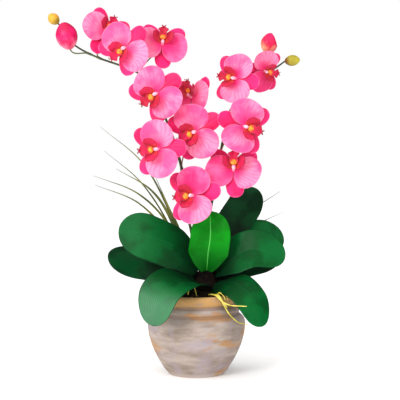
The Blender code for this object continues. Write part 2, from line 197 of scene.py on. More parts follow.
def growTube(route, radii, roundness=2):
    # a capped stem along a route, with its own radius at every point
    clearPick()
    bpy.ops.curve.primitive_nurbs_path_add(location=(0, 0, 0))
    path = bpy.context.object
    path.data.splines[0].type = "POLY"
    strand = path.data.splines[0]
    strand.points.add(len(route) - len(strand.points))
    for point, place, radius in zip(strand.points, route, radii):
        point.co = (*place, 1)
        point.radius = radius / radii[0]
    path.data.bevel_depth = radii[0]
    path.data.bevel_resolution = roundness
    path.data.use_fill_caps = True
    bpy.ops.object.convert(target="MESH")
    tube = bpy.context.object
    closeUp(tube)
    smoothAll(tube)
    return tube


def ease(low, high, value):
    t = min(1, max(0, (value - low) / (high - low)))
    return t * t * (3 - 2 * t)


def bump(value, middle, width):
    return math.exp(-(((value - middle) / width) ** 2))


def addNode(tree, kind, inputs=None, **settings):
    node = tree.nodes.new("ShaderNode" + kind)
    for name, value in settings.items():
        setattr(node, name, value)
    for name, value in (inputs or {}).items():
        if isinstance(value, bpy.types.NodeSocket):
            tree.links.new(value, node.inputs[name])
        else:
            node.inputs[name].default_value = value
    return node


def compute(tree, operation, first, second=0.0, third=0.0):
    node = addNode(tree, "Math", operation=operation)
    for socket, value in zip(node.inputs, (first, second, third)):
        if isinstance(value, bpy.types.NodeSocket):
            tree.links.new(value, socket)
        else:
            socket.default_value = value
    return node.outputs[0]


def stepBetween(tree, value, low, high):
    node = addNode(tree, "MapRange", {"Value": value, "From Min": low, "From Max": high})
    node.interpolation_type = "SMOOTHSTEP"
    return node.outputs[0]


def blendColour(tree, factor, low, high):
    node = addNode(tree, "Mix", data_type="RGBA")
    for socket, value in ((node.inputs[0], factor), (node.inputs[6], low), (node.inputs[7], high)):
        if isinstance(value, bpy.types.NodeSocket):
            tree.links.new(value, socket)
        elif isinstance(value, tuple):
            socket.default_value = (*value, 1)
        else:
            socket.default_value = value
    return node.outputs[2]


def objectPlace(tree, scale=(1, 1, 1), move=(0, 0, 0)):
    place = addNode(tree, "TexCoord").outputs["Object"]
    inputs = {"Vector": place, "Scale": scale, "Location": move}
    return addNode(tree, "Mapping", inputs).outputs[0]


def noiseAt(tree, place, scale, detail, **more):
    inputs = {"Vector": place, "Scale": scale, "Detail": detail, **more}
    return addNode(tree, "TexNoise", inputs).outputs[0]


def layOver(tree, colour, mask, share, tint):
    # a tint over a colour where the mask says, at a share of its strength
    return blendColour(tree, compute(tree, "MULTIPLY", mask, share), colour, tint)


def newGroup(name, wanted, given):
    group = bpy.data.node_groups.new(name, "ShaderNodeTree")
    for socket, value in wanted.items():
        made = group.interface.new_socket(socket, in_out="INPUT", socket_type="NodeSocketFloat")
        made.default_value = value
    for socket in given:
        group.interface.new_socket(socket, in_out="OUTPUT", socket_type="NodeSocketFloat")
    start = group.nodes.new("NodeGroupInput")
    end = group.nodes.new("NodeGroupOutput")
    return group, start.outputs, end.inputs


def useGroup(tree, group, **values):
    node = tree.nodes.new("ShaderNodeGroup")
    node.node_tree = group
    for name, value in values.items():
        node.inputs[name.replace("_", " ")].default_value = value
    return node.outputs


def newFinish(name, **constants):
    # an empty Principled material, with its constant values set on its own sockets
    finish = bpy.data.materials.new(name)
    finish.use_nodes = True
    shader = finish.node_tree.nodes["Principled BSDF"]
    for socket, value in constants.items():
        shader.inputs[socket.replace("_", " ")].default_value = value
    return finish, finish.node_tree, shader.inputs


def coat(tree, sockets, colour, mask, spread, least):
    # the base colour, and a roughness that rises from least by spread where the mask says
    tree.links.new(colour, sockets["Base Color"])
    tree.links.new(compute(tree, "MULTIPLY_ADD", mask, spread, least), sockets["Roughness"])


def raiseSurface(tree, sockets, height, strength, distance):
    relief = addNode(
        tree, "Bump", {"Height": height, "Strength": strength, "Distance": distance}
    )
    tree.links.new(relief.outputs[0], sockets["Normal"])


tissuePlan = {
    "waverScale": 45.0, "mottleScale": 26.0, "sharpness": 6.0,
    "foot": (0.0, 0.55), "tip": (0.36, 0.70), "middle": (0.0, 0.05), "mottle": (0.40, 0.60),
}
petalTissue = {
    "scatter": (0.006, 0.0025, 0.003), "gloss": 0.3, "sheen": 0.12, "wobble": 0.55,
    "roughSpread": 0.12, "rough": 0.48, "relief": 0.35, "depth": 0.0004,
}
leafTissue = {
    "gloss": 0.09, "veins": 11.0, "wobble": 0.04, "rim": 0.045, "veinShare": 0.22,
    "edgeShare": 0.75, "footShare": 0.8, "glossHighlightColour": (0.16, 0.36, 0.22),
    "roughSpread": 0.12, "crease": -1.6, "veinRelief": 0.35, "relief": 0.5, "depth": 0.0006,
}


def tissueGroup():
    # masks for a petal or leaf: its UV runs across it in X and from foot to tip in Y
    group, given, out = newGroup(
        "tissueVeins",
        {"Vein Count": 9.0, "Wobble": 0.05, "Margin Width": 0.08},
        ("Vein", "Margin", "Foot", "Middle", "Tip", "Mottle"),
    )
    uv = addNode(group, "UVMap").outputs[0]
    split = addNode(group, "SeparateXYZ", {"Vector": uv}).outputs
    place = objectPlace(group)
    across = compute(group, "MULTIPLY_ADD", split[0], 2.0, -1.0)
    side = compute(group, "ABSOLUTE", across)
    shift = compute(group, "SUBTRACT", noiseAt(group, place, tissuePlan["waverScale"], 2.0), 0.5)
    bent = compute(group, "MULTIPLY_ADD", shift, given["Wobble"], across)
    turns = compute(group, "MULTIPLY", bent, given["Vein Count"])
    turns = compute(group, "MULTIPLY", turns, math.pi)
    wave = compute(group, "ABSOLUTE", compute(group, "COSINE", turns))
    sideStart = compute(group, "SUBTRACT", 1.0, given["Margin Width"])
    mottle = noiseAt(group, place, tissuePlan["mottleScale"], 2.5)
    masks = {
        "Vein": compute(group, "POWER", wave, tissuePlan["sharpness"]),
        "Margin": stepBetween(group, compute(group, "MAXIMUM", side, split[1]), sideStart, 1.0),
        "Foot": compute(group, "SUBTRACT", 1.0, stepBetween(group, split[1], *tissuePlan["foot"])),
        "Tip": stepBetween(group, split[1], *tissuePlan["tip"]),
        "Middle": compute(group, "SUBTRACT", 1.0, stepBetween(group, side, *tissuePlan["middle"])),
        "Mottle": stepBetween(group, mottle, *tissuePlan["mottle"]),
    }
    for name, mask in masks.items():
        group.links.new(mask, out[name])
    return group


def mottleGroup():
    # soft patches and fine grain by place
    group, given, out = newGroup(
        "softMottle", {"Patch Scale": 30.0, "Grain Scale": 400.0}, ("Patch", "Grain")
    )
    place = objectPlace(group)
    patch = noiseAt(group, place, given["Patch Scale"], 4.0)
    group.links.new(stepBetween(group, patch, 0.35, 0.65), out["Patch"])
    group.links.new(noiseAt(group, place, given["Grain Scale"], 2.0), out["Grain"])
    return group


tissueVeins = tissueGroup()
softMottle = mottleGroup()


def petalFinish(name, look):
    finish, tree, sockets = newFinish(
        name,
        Subsurface_Weight=look["glow"],
        Subsurface_Radius=petalTissue["scatter"],
        Subsurface_Scale=1.0,
        Specular_IOR_Level=petalTissue["gloss"],
        Sheen_Weight=petalTissue["sheen"],
    )
    masks = useGroup(
        tree, tissueVeins,
        Vein_Count=look["veins"], Wobble=petalTissue["wobble"], Margin_Width=look["rim"],
    )
    colour = blendColour(tree, masks["Mottle"], look["body"], look["soft"])
    colour = layOver(tree, colour, masks["Vein"], look["veinShare"], look["vein"])
    colour = layOver(tree, colour, masks["Foot"], look["footShare"], look["foot"])
    colour = layOver(tree, colour, masks["Margin"], look["rimShare"], look["edge"])
    coat(tree, sockets, colour, masks["Mottle"], petalTissue["roughSpread"], petalTissue["rough"])
    raiseSurface(tree, sockets, masks["Vein"], petalTissue["relief"], petalTissue["depth"])
    return finish


def leafFinish(name, look):
    look = {**leafTissue, **look}
    finish, tree, sockets = newFinish(name, Specular_IOR_Level=look["gloss"])
    masks = useGroup(
        tree, tissueVeins,
        Vein_Count=look["veins"], Wobble=look["wobble"], Margin_Width=look["rim"],
    )
    colour = blendColour(tree, masks["Mottle"], look["deep"], look["body"])
    colour = layOver(tree, colour, masks["Vein"], look["veinShare"], look["vein"])
    # painted shade: the leaf darkens towards its foot at the crown
    colour = layOver(tree, colour, masks["Foot"], look["footShare"], look["foot"])
    # middle: a lighter line along the midrib, a painted highlight on its crease
    colour = layOver(tree, colour, masks["Middle"], look["midribHighlightShare"], look["middle"])
    # bloom: a painted gloss highlight towards the tip, streaked along the veins
    streak = compute(tree, "MULTIPLY_ADD", masks["Vein"], 0.3, 0.7)
    bloom = compute(tree, "MULTIPLY", masks["Tip"], streak)
    colour = layOver(tree, colour, bloom, look.get("bloom", 0.0), look["glossHighlightColour"])
    colour = layOver(tree, colour, masks["Margin"], look["edgeShare"], look["edge"])
    grain = useGroup(tree, softMottle, Patch_Scale=60.0, Grain_Scale=900.0)
    coat(tree, sockets, colour, grain["Patch"], look["roughSpread"], look["rough"])
    crease = compute(tree, "MULTIPLY", masks["Middle"], look["crease"])
    height = compute(tree, "MULTIPLY_ADD", masks["Vein"], look["veinRelief"], crease)
    raiseSurface(tree, sockets, height, look["relief"], look["depth"])
    return finish


def plainFinish(name, look):
    # stems, roots, buds, grass and mix: two colours in patches, with a grain
    finish, tree, sockets = newFinish(name, Specular_IOR_Level=look.get("gloss", 0.4))
    mottle = useGroup(
        tree, softMottle, Patch_Scale=look.get("patch", 60.0), Grain_Scale=look.get("grain", 700.0)
    )
    colour = blendColour(tree, mottle["Patch"], look["low"], look["high"])
    colour = layOver(tree, colour, stepBetween(tree, mottle["Grain"], 0.5, 0.75), 0.5, look["speck"])
    coat(tree, sockets, colour, mottle["Grain"], 0.2, look["rough"])
    raiseSurface(tree, sockets, mottle["Grain"], 0.4, look.get("relief", 0.0004))
    return finish


potPlan = {
    "sides": 128,
    "foot": ((42, 0), (45.4, 0), (46.6, 0.5), (47, 1.8)),  # each ring's radius and height in mm
    "shoulder": (81, 86),
    "swell": 0.85,
    "steps": 16,
    "neck": (
        (80.6, 89), (79.4, 92), (77.2, 95), (74.6, 97.6),  # over the shoulder
        (72.0, 99.4), (70.6, 101), (70.4, 103), (71.2, 105), (71.9, 107.5),  # first groove
        (71.4, 110), (69.4, 112.2), (66.4, 114), (64.6, 115.6), (64.2, 117.4),  # second groove
        (65.2, 119.4), (66.4, 121.6), (67.2, 124.6), (67.4, 128), (66.8, 131.4),  # rolled lip
        (65.2, 133.9), (63.0, 135), (60.8, 134.2), (59.5, 132.2),
        (58.4, 126), (57.8, 119), (60.0, 110), (63.5, 100), (20.0, 99.0),  # inside of the neck
    ),
}
clayLook = {
    "gloss": 0.15, "low": (0.265, 0.205, 0.170), "high": (0.420, 0.345, 0.300),
    "mauve": (0.345, 0.290, 0.325), "rust": (0.44, 0.215, 0.07), "lip": (0.50, 0.265, 0.07),
    # grooveShade is painted shade for the two grooves
    "grooveShade": (0.16, 0.10, 0.075), "pale": (0.56, 0.47, 0.41), "speck": (0.20, 0.14, 0.11),
    # each noise: its scale, move, detail, roughness and distortion
    "streakNoise": ((16, 16, 60), (0, 0, 0), 7.0, 0.62, 0.3),
    "washNoise": ((22, 22, 26), (0, 0, 0), 6.0, 0.6, 0.5),
    "rustNoise": ((13, 13, 26), (0.35, 0.10, 0.72), 5.0, 0.6, 0.4),
    "lipHeights": (0.113, 0.121), "footHeights": (0.002, 0.009), "grooves": (0.1025, 0.1165),
    "rough": 0.72, "relief": 0.6, "depth": 0.0012,
}


def potRings():
    shoulderRadius, shoulderHeight = potPlan["shoulder"]
    rings = list(potPlan["foot"])
    footRadius, footHeight = rings[-1]
    for i in range(1, potPlan["steps"] + 1):
        share = i / potPlan["steps"]
        swell = math.sin(share * math.pi / 2) ** potPlan["swell"]
        radius = footRadius + (shoulderRadius - footRadius) * swell
        rings.append((radius, footHeight + (shoulderHeight - footHeight) * share))
    return [*rings, *potPlan["neck"]]


def clayFinish():
    look = clayLook
    finish, tree, sockets = newFinish("weatheredClay", Specular_IOR_Level=look["gloss"])
    height = addNode(tree, "SeparateXYZ", {"Vector": objectPlace(tree)}).outputs[2]

    def weather(scale, move, detail, roughness, distortion):
        more = {"Roughness": roughness, "Distortion": distortion}
        return noiseAt(tree, objectPlace(tree, scale, move), 1.0, detail, **more)

    streaks, wash, rust = (weather(*look[kind + "Noise"]) for kind in ("streak", "wash", "rust"))
    grain = useGroup(tree, softMottle, Patch_Scale=90.0, Grain_Scale=900.0)
    worn = stepBetween(tree, streaks, 0.30, 0.52)
    lipBand = compute(tree, "MULTIPLY", stepBetween(tree, height, *look["lipHeights"]), worn)
    # painted shade: darker in the two grooves, under the lip and round the neck
    first, second = (compute(tree, "COMPARE", height, groove, 0.003) for groove in look["grooves"])
    footBand = compute(tree, "SUBTRACT", 1.0, stepBetween(tree, height, *look["footHeights"]))
    colour = blendColour(tree, stepBetween(tree, streaks, 0.36, 0.64), look["low"], look["high"])
    for mask, share, tint in (
        (stepBetween(tree, wash, 0.46, 0.66), 0.65, "mauve"),
        (stepBetween(tree, rust, 0.53, 0.62), 0.8, "rust"),
        (lipBand, 0.85, "lip"),
        (compute(tree, "MAXIMUM", first, second), 0.45, "grooveShade"),
        (footBand, 0.5, "pale"),
        (stepBetween(tree, grain["Grain"], 0.55, 0.72), 0.25, "speck"),
    ):
        colour = layOver(tree, colour, mask, share, look[tint])
    coat(tree, sockets, colour, grain["Patch"], 0.15, look["rough"])
    relief = compute(tree, "MULTIPLY_ADD", grain["Grain"], 0.35, streaks)
    raiseSurface(tree, sockets, relief, look["relief"], look["depth"])
    return finish


pot = growRings(potPlan["sides"], potRings())
pickOnly(pot)
bpy.ops.object.shade_smooth_by_angle(angle=math.radians(50))
keep(pot, "clayPot", "pot", clayFinish())
print("stage: pot")


mixPlan = {
    "rings": ((50, 101), (61.5, 102), (58.5, 108), (56.0, 118), (55.6, 123.5), (50, 127.5),
              (44, 131), (38, 136), (30, 139.4), (20, 140.6), (9, 141)),
    "lumpsAbove": 120, "lump": 1.6, "lumpTop": 1.5,
    "chips": 150, "chipSize": 5.5, "chipShape": (1.0, 0.62, 0.26), "chipSpread": 54,
    "chipTop": 141.2, "chipFall": 15.5, "seed": 11,
}

# the mix is near-black: its own dark colour, deepened as painted shade under the leaves
mixShadeLook = {
    "low": (0.003, 0.002, 0.002), "high": (0.012, 0.008, 0.005), "speck": (0.04, 0.022, 0.012),
    "rough": 0.75, "patch": 120.0, "grain": 650.0, "relief": 0.0015, "gloss": 0.1,
}
barkLook = {
    "low": (0.010, 0.006, 0.005), "high": (0.040, 0.020, 0.013), "speck": (0.11, 0.06, 0.035),
    "rough": 0.7, "patch": 90.0, "grain": 500.0, "relief": 0.001, "gloss": 0.2,
}

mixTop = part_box("potting_mix")[1].z
mound = growRings(72, mixPlan["rings"])
for point in mound.data.vertices:
    if point.co.z > mixPlan["lumpsAbove"] * mm:
        lump = noise.noise(point.co * 90) + 0.5 * noise.noise(point.co * 220)
        top = mixTop + mixPlan["lumpTop"] * mm
        point.co.z = min(point.co.z + lump * mixPlan["lump"] * mm, top)
smoothAll(mound)
keep(mound, "mixMound", "potting_mix", plainFinish("darkMixShade", mixShadeLook))


def barkChip():
    # one chip: a cube flattened, bevelled and pulled out of true
    clearPick()
    bpy.ops.mesh.primitive_cube_add(size=1, location=(0, 0, 0))
    chip = bpy.context.object
    bpy.ops.object.mode_set(mode="EDIT")
    bpy.ops.mesh.select_all(action="SELECT")
    bpy.ops.transform.resize(value=mixPlan["chipShape"], center_override=(0, 0, 0))
    bpy.ops.mesh.bevel(offset=0.08, segments=1)
    bpy.ops.object.mode_set(mode="OBJECT")
    for point in chip.data.vertices:
        point.co += 0.10 * noise.noise_vector(point.co * 2.3)
    return chip


def scatterBark():
    draw = random.Random(mixPlan["seed"])
    model = barkChip()
    spread = mixPlan["chipSpread"] * mm
    chips = []
    for i in range(mixPlan["chips"]):
        radius = spread * math.sqrt(draw.uniform(0.02, 1.0))
        angle = draw.uniform(0, math.tau)
        fall = mixPlan["chipFall"] * ease(0.45, 1.05, radius / spread)
        height = mixPlan["chipTop"] - fall + draw.uniform(-1.0, 0.8)
        size = mixPlan["chipSize"] * draw.uniform(0.55, 1.25) * mm
        turn = Matrix.Rotation(draw.uniform(0, math.tau), 4, "Z")
        tilt = Matrix.Rotation(draw.uniform(-0.6, 0.6), 4, draw.choice("XY"))
        spot = Vector((radius * math.cos(angle), radius * math.sin(angle), height * mm))
        chip = copyOf(model)
        chip.matrix_world = Matrix.Translation(spot) @ turn @ tilt @ Matrix.Scale(size, 4)
        chips.append(chip)
    bpy.data.objects.remove(model)
    bark = joinAll(chips)
    settle(bark)
    return bark


barkBrown = plainFinish("barkBrown", barkLook)
keep(scatterBark(), "barkChips", "potting_mix", barkBrown)
print("stage: potting mix")


leafPlan = {
    "grid": (14, 34), "thickness": 1.5, "foot": 0.24, "sheathEnd": 0.34, "tipStart": 0.62,
    "groove": 0.6, "grooveWidth": 0.07, "ripple": 0.9, "sheathFold": 4, "ahead": 0.06,
    "pieces": {
        "leaf_left_upper": {
            "midrib": ((4, -3, 172), (-28, -14, 207), (-80, -30, 232), (-126, -36, 244)),
            "width": 80, "side": (0.12, -0.38, -0.92), "fold": 5, "wave": 0.3, "foot": 0.40,
        },
        "leaf_left_lower": {
            "midrib": ((3, 5, 160), (-42, 20, 176), (-100, 26, 184), (-148, 22, 194)),
            "width": 62, "side": (-0.05, -0.60, -0.80), "fold": 6, "wave": 1.3,
        },
        "leaf_front_left": {
            "midrib": ((6, -11, 150), (-26, -58, 164), (-56, -96, 146), (-67, -112, 97)),
            "width": 72, "side": (0.78, -0.52, -0.35), "fold": -4, "wave": 2.1, "foot": 0.62,
        },
        "leaf_front_upright": {
            "midrib": ((17, -15, 172), (19, -28, 202), (23, -37, 234), (22, -32, 272)),
            "width": 66, "side": (1, 0, -0.05), "fold": 6, "wave": 3.0,
        },
        "leaf_right_upper": {
            "midrib": ((31, -3, 169), (60, -22, 195), (98, -34, 210), (143, -42, 193)),
            "width": 66, "side": (0.10, -0.45, -0.90), "fold": 5, "wave": 4.4, "foot": 0.36,
        },
        "leaf_back_right": {
            "midrib": ((27, 10, 180), (48, 28, 226), (76, 42, 268), (104, 46, 302)),
            "width": 60, "side": (0.78, 0.10, -0.60), "fold": 5, "wave": 5.2,
        },
        "leaf_right_middle": {
            "midrib": ((30, 7, 166), (66, 34, 206), (108, 46, 225), (146, 44, 208)),
            "width": 56, "side": (0.10, -0.55, -0.83), "fold": 5, "wave": 6.1,
        },
        "leaf_right_lower": {
            "midrib": ((31, 2, 153), (66, 14, 162), (102, 20, 172), (134, 18, 180)),
            "width": 44, "side": (0.05, -0.80, -0.55), "fold": 6, "wave": 7.7,
        },
        "leaf_front_right": {
            "midrib": ((28, -11, 149), (62, -50, 157), (90, -76, 134), (105, -88, 92)),
            "width": 56, "side": (-0.62, -0.55, -0.55), "fold": -4, "wave": 8.2, "foot": 0.60,
        },
    },
}

# in each leaf look, foot is painted shade that darkens the leaf towards its base at the crown
leafLook = {
    "deep": (0.0002, 0.055, 0.008), "body": (0.0003, 0.098, 0.017), "vein": (0.001, 0.13, 0.032),
    "foot": (0.0015, 0.006, 0.004), "middle": (0.005, 0.17, 0.05), "midribHighlightShare": 0.12,
    "edge": (0.0005, 0.028, 0.010), "rough": 0.30,
}
shadedLook = {
    "deep": (0.0002, 0.020, 0.005), "body": (0.0003, 0.046, 0.010), "vein": (0.001, 0.058, 0.016),
    "foot": (0.0030, 0.0015, 0.0022), "footShare": 1.0,
    "middle": (0.002, 0.09, 0.03), "midribHighlightShare": 0.1, "edge": (0.0003, 0.020, 0.006),
    "rough": 0.34,
}
youngLook = {
    "deep": (0.0006, 0.145, 0.002), "body": (0.001, 0.235, 0.005), "vein": (0.003, 0.29, 0.010),
    "foot": (0.001, 0.06, 0.004), "middle": (0.10, 0.55, 0.09), "midribHighlightShare": 0.8,
    "edge": (0.001, 0.11, 0.006), "rough": 0.30,
}


def leafWidth(t, foot):
    # a narrow sheath at the crown, then broad, with a round tip
    sheathEnd, tipStart = leafPlan["sheathEnd"], leafPlan["tipStart"]
    sheath = foot + (1 - foot) * min(1, max(0, (t - 0.02) / sheathEnd)) ** 0.7
    tip = math.sqrt(max(0.0002, 1 - max(0, (t - tipStart) / (1 - tipStart)) ** 2.4))
    return sheath * tip


def growLeaf(shape):
    midrib = inMm(shape["midrib"])
    lean = Vector(shape["side"]).normalized()
    upward = math.copysign(1, shape["fold"])
    step = leafPlan["ahead"]

    def place(u, v):
        t = 1 - (1 - v) ** 1.5  # rows crowd towards the round tip
        here = alongLine(midrib, t)
        ahead = alongLine(midrib, min(1, t + step)) - alongLine(midrib, max(0, t - step))
        ahead.normalize()
        side = (lean - ahead * lean.dot(ahead)).normalized()
        share = leafWidth(t, shape.get("foot", leafPlan["foot"]))
        half = shape["width"] / 2 * share
        rise = shape["fold"] * share * abs(u) ** 1.5
        rise -= upward * leafPlan["groove"] * bump(u, 0, leafPlan["grooveWidth"]) * (1 - t * 0.6)
        rise += leafPlan["ripple"] * math.sin(9 * t + shape["wave"] + 2 * u) * u * u * share
        rise += upward * leafPlan["sheathFold"] * (1 - ease(0, 0.3, t)) * u * u
        return here + (side * half * u + side.cross(ahead) * rise) * mm

    leaf = growSheet(*leafPlan["grid"], place)
    thicken(leaf, leafPlan["thickness"] * mm, 1)
    return leaf


leafGreen = leafFinish("waxyGreen", leafLook)
shadedGreen = leafFinish("shadedGreen", shadedLook)
leafFinishes = {
    # bloom is the share of painted gloss highlight on a leaf
    "leaf_front_left": leafFinish("paintedGlossGreen", {**leafLook, "bloom": 0.40}),
    "leaf_left_upper": leafFinish("faintPaintedGlossGreen", {**leafLook, "bloom": 0.07}),
    "leaf_front_upright": leafFinish("freshGreen", youngLook),
    "leaf_left_lower": shadedGreen,
    "leaf_right_lower": shadedGreen,
    "leaf_back_right": shadedGreen,
}
for name, shape in leafPlan["pieces"].items():
    keep(growLeaf(shape), "blade_" + name, name, leafFinishes.get(name, leafGreen))
print("stage: leaves")


# the crown is a core with folded sheaths round it; its near-black colour is painted shade between
# the leaf feet, with reddish specks of its own
crownShadeLook = {
    "low": (0.002, 0.001, 0.002), "high": (0.006, 0.005, 0.003), "speck": (0.035, 0.012, 0.008),
    "rough": 0.75, "patch": 80.0, "grain": 500.0, "gloss": 0.05,
}
crownPlan = {
    "rings": ((20, -3), (22.0, 0.5), (23.0, 5.5), (20.8, 11), (18.8, 15), (16.6, 21), (14.8, 26),
              (13.4, 32), (11.8, 37), (9.0, 43), (3.0, 46)),
    "sheaths": 9,
}

crownLow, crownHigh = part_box("crown")
crownCentre = (crownLow + crownHigh) / 2
core = growRings(72, crownPlan["rings"], (crownCentre.x, crownCentre.y, crownLow.z))
for point in core.data.vertices:
    arm = Vector((point.co.x - crownCentre.x, point.co.y - crownCentre.y, 0))
    angle = math.atan2(arm.y, arm.x)
    rib = 0.90 + 0.10 * abs(math.cos(angle * crownPlan["sheaths"] / 2 + point.co.z * 60))
    point.co.x = crownCentre.x + arm.x * rib
    point.co.y = crownCentre.y + arm.y * rib
smoothAll(core)
keep(core, "crownCore", "crown", plainFinish("crownShadeBrown", crownShadeLook))
print("stage: crown")


# yaw and up turn a flower's face, clock is where its lip points, deep names its petal that gets the
# darker copy of the pink as painted shade
flowerKeys = ("size", "yaw", "up", "clock", "cup", "wave", "deep")
flowerRows = {
    "flower_left_1": (0.88, 18, 10, 212, 6, 0.2, ""),
    "flower_left_2": (0.96, -14, 0, 45, 4, 1.1, ""),
    "flower_left_3": (0.90, 5, 18, 185, 7, 2.3, "left"),
    "flower_left_4": (1.00, -12, 0, 50, 4, 3.4, ""),
    "flower_left_5": (0.90, -40, 16, 172, 9, 4.5, "right"),
    "flower_left_6": (1.00, -6, 0, 62, 5, 5.6, ""),
    "flower_left_7": (1.00, -12, 0, 84, 5, 6.7, ""),
    "flower_left_8": (1.00, -10, 4, 82, 6, 7.8, "left"),
    "flower_right_1": (0.78, 25, -14, 274, 8, 8.9, "left"),
    "flower_right_2": (0.90, -24, 5, 98, 5, 9.3, ""),
    "flower_right_3": (0.98, 10, 0, 290, 4, 10.4, ""),
    "flower_right_4": (1.00, 0, 24, 180, 5, 11.5, "right"),
}
flowerPlan = {name: dict(zip(flowerKeys, row)) for name, row in flowerRows.items()}
tepalPlan = {"thickness": 0.8, "claw": 1.6}
petalPlan = {
    "length": 46, "width": 57, "fan": 76, "angles": (171, 8), "lifts": (-0.9, -0.3),
    "grid": (22, 14), "rimWave": 0.035, "fold": 3.2, "ruffle": 1.8, "crease": 1.0, "droop": 3.2,
}
sepalPlan = {
    "length": 47, "width": 30, "dorsal": 91, "laterals": (222, 319), "lifts": (-2.6, -3.2, -3.8),
    "grid": (10, 18), "widest": 0.56, "rise": 3.5, "ripple": 0.9, "curl": 2.4, "crease": 0.8,
    "skew": 1.2,
}
hubPlan = {
    "back": 6, "radius": 3.6, "front": ((0.8, 0.6), (0.3, 1.2)),
    # each ring behind the tepals: shares of the radius and of the depth
    "behind": ((0.45, 1), (0.62, 0.85), (0.8, 0.5), (0.95, 0.1)),
}
lipPlan = {
    "size": 1.4,
    "column": (
        (1.7, 0), (1.7, 2), (1.8, 3.5), (2.1, 5), (2.3, 6.6), (2.0, 7.8), (1.2, 8.6), (0.4, 8.9),
    ),
    "nod": 26,
    "tongueLength": 17.5, "tongueThickness": 1.0,
    "lobeBreadth": 7.8, "lobeReach": 11.5, "lobeHeight": 9.5, "lobeThickness": 0.9,
    "callus": (3.9, 3.6, 2.3), "callusPlace": (0, -7.6, 7.2), "callusSplit": 0.20,
    "tendril": (
        (0.6, -19.2, 9.6), (1.4, -21.0, 10.5), (2.5, -21.3, 12.2), (2.7, -20.0, 13.5),
        (1.9, -19.2, 13.1),
    ),
    "tendrilRadius": 0.62, "tendrilTaper": 0.022, "tendrilSteps": 18,
}

petalLook = {
    "body": (0.90, 0.065, 0.250), "soft": (0.96, 0.235, 0.420), "vein": (0.86, 0.045, 0.23),
    "veinShare": 0.40, "foot": (0.88, 0.006, 0.15), "footShare": 0.85, "edge": (0.60, 0.17, 0.33),
    "rimShare": 0.65, "rim": 0.055, "veins": 6.0, "glow": 0.08,
}
sepalLook = {
    "body": (0.74, 0.000, 0.105), "soft": (0.84, 0.008, 0.170), "vein": (0.50, 0.000, 0.05),
    "veinShare": 0.5, "foot": (0.55, 0.000, 0.05), "footShare": 0.7, "edge": (0.86, 0.10, 0.28),
    "rimShare": 0.8, "rim": 0.16, "veins": 4.0, "glow": 0.06,
}
lipLook = {
    "body": (0.52, 0.000, 0.035), "soft": (0.66, 0.001, 0.070), "vein": (0.26, 0.000, 0.015),
    "veinShare": 0.60, "foot": (0.80, 0.08, 0.015), "footShare": 0.7, "edge": (0.30, 0.000, 0.03),
    "rimShare": 0.7, "rim": 0.16, "veins": 4.0, "glow": 0.04,
}
throatLook = {
    "low": (0.93, 0.36, 0.02), "high": (0.92, 0.13, 0.015), "speck": (0.55, 0.01, 0.02),
    "rough": 0.4, "patch": 260.0, "grain": 900.0,
}
columnLook = {
    "low": (0.90, 0.30, 0.46), "high": (0.93, 0.62, 0.70), "speck": (0.80, 0.10, 0.28),
    "rough": 0.4, "patch": 200.0, "grain": 900.0,
}
tendrilLook = {
    "low": (0.22, 0.01, 0.03), "high": (0.45, 0.02, 0.05), "speck": (0.65, 0.20, 0.05),
    "rough": 0.4,
}

petalPink = petalFinish("petalPink", petalLook)
# a darker copy of the petal pink: painted shade for the petals named by deep
shadedPetalLook = {**petalLook, "body": (0.80, 0.018, 0.160), "soft": (0.93, 0.120, 0.320)}
shadedPetalPink = petalFinish("shadedPetalPink", shadedPetalLook)
sepalMagenta = petalFinish("sepalMagenta", sepalLook)
lipRed = petalFinish("lipRed", lipLook)
throatGold = plainFinish("throatGold", throatLook)
columnPale = plainFinish("columnPale", columnLook)
tendrilDark = plainFinish("tendrilDark", tendrilLook)


def facing(flower):
    # from facing +Z with the lip towards -Y to the flower's own pose
    upright = Matrix.Rotation(math.radians(90), 3, "X")
    roll = Matrix.Rotation(math.radians(-flower["clock"]), 3, "Z")
    pitch = Matrix.Rotation(math.radians(-flower["up"]), 3, "X")
    yaw = Matrix.Rotation(math.radians(flower["yaw"]), 3, "Z")
    return yaw @ pitch @ upright @ roll


def flowerCentre(name, flower):
    # the CAD bloom's own hub shows where the flower is: its back face is the lowest part
    turn = facing(flower)
    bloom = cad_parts[name + "_petals"]
    points = [turn.transposed() @ point.co for point in bloom.data.vertices]
    lowest = min(point.z for point in points)
    back = [point for point in points if point.z < lowest + 0.2 * mm]
    middle = sum(back, Vector()) / len(back)
    middle.z += hubPlan["back"] * flower["size"] * mm
    return turn @ middle


def tepalSheet(angle, place, grid, finish):
    # a sheet laid out along +X in mm, turned to its angle round the hub
    turn = Matrix.Rotation(math.radians(angle), 3, "Z")
    sheet = growSheet(*grid, lambda u, v: turn @ (Vector(place(u, v)) * mm))
    thicken(sheet, tepalPlan["thickness"] * mm, 1)
    paint(sheet, finish)
    return sheet


def petalSheet(angle, lift, flower, turnSeed, finish):
    # a fan from a narrow claw, ruffled at its rim
    length, claw = petalPlan["length"], tepalPlan["claw"]
    flat = (length / petalPlan["width"]) ** 2
    wave = flower["wave"] + turnSeed

    def place(u, v):
        theta = u * math.radians(petalPlan["fan"])
        reach = length * math.cos(theta) / (math.cos(theta) ** 2 + flat * math.sin(theta) ** 2)
        reach *= 1 + petalPlan["rimWave"] * math.sin(3 * theta + wave) * ease(0.3, 1, v)
        radius = claw + (reach - claw) * v**0.85
        rise = lift + flower["cup"] * v * v
        rise += petalPlan["fold"] * math.sin(3.1 * theta + 2.3 * wave) * v * v
        rise += petalPlan["ruffle"] * math.sin(6.5 * theta - wave) * v**4
        rise -= petalPlan["crease"] * bump(theta, 0, 0.13) * math.sin(math.pi * v) ** 0.5
        rise -= petalPlan["droop"] * abs(u) ** 2.2 * v  # the sides fall back
        return radius * math.cos(theta), radius * math.sin(theta), rise

    return tepalSheet(angle, place, petalPlan["grid"], finish)


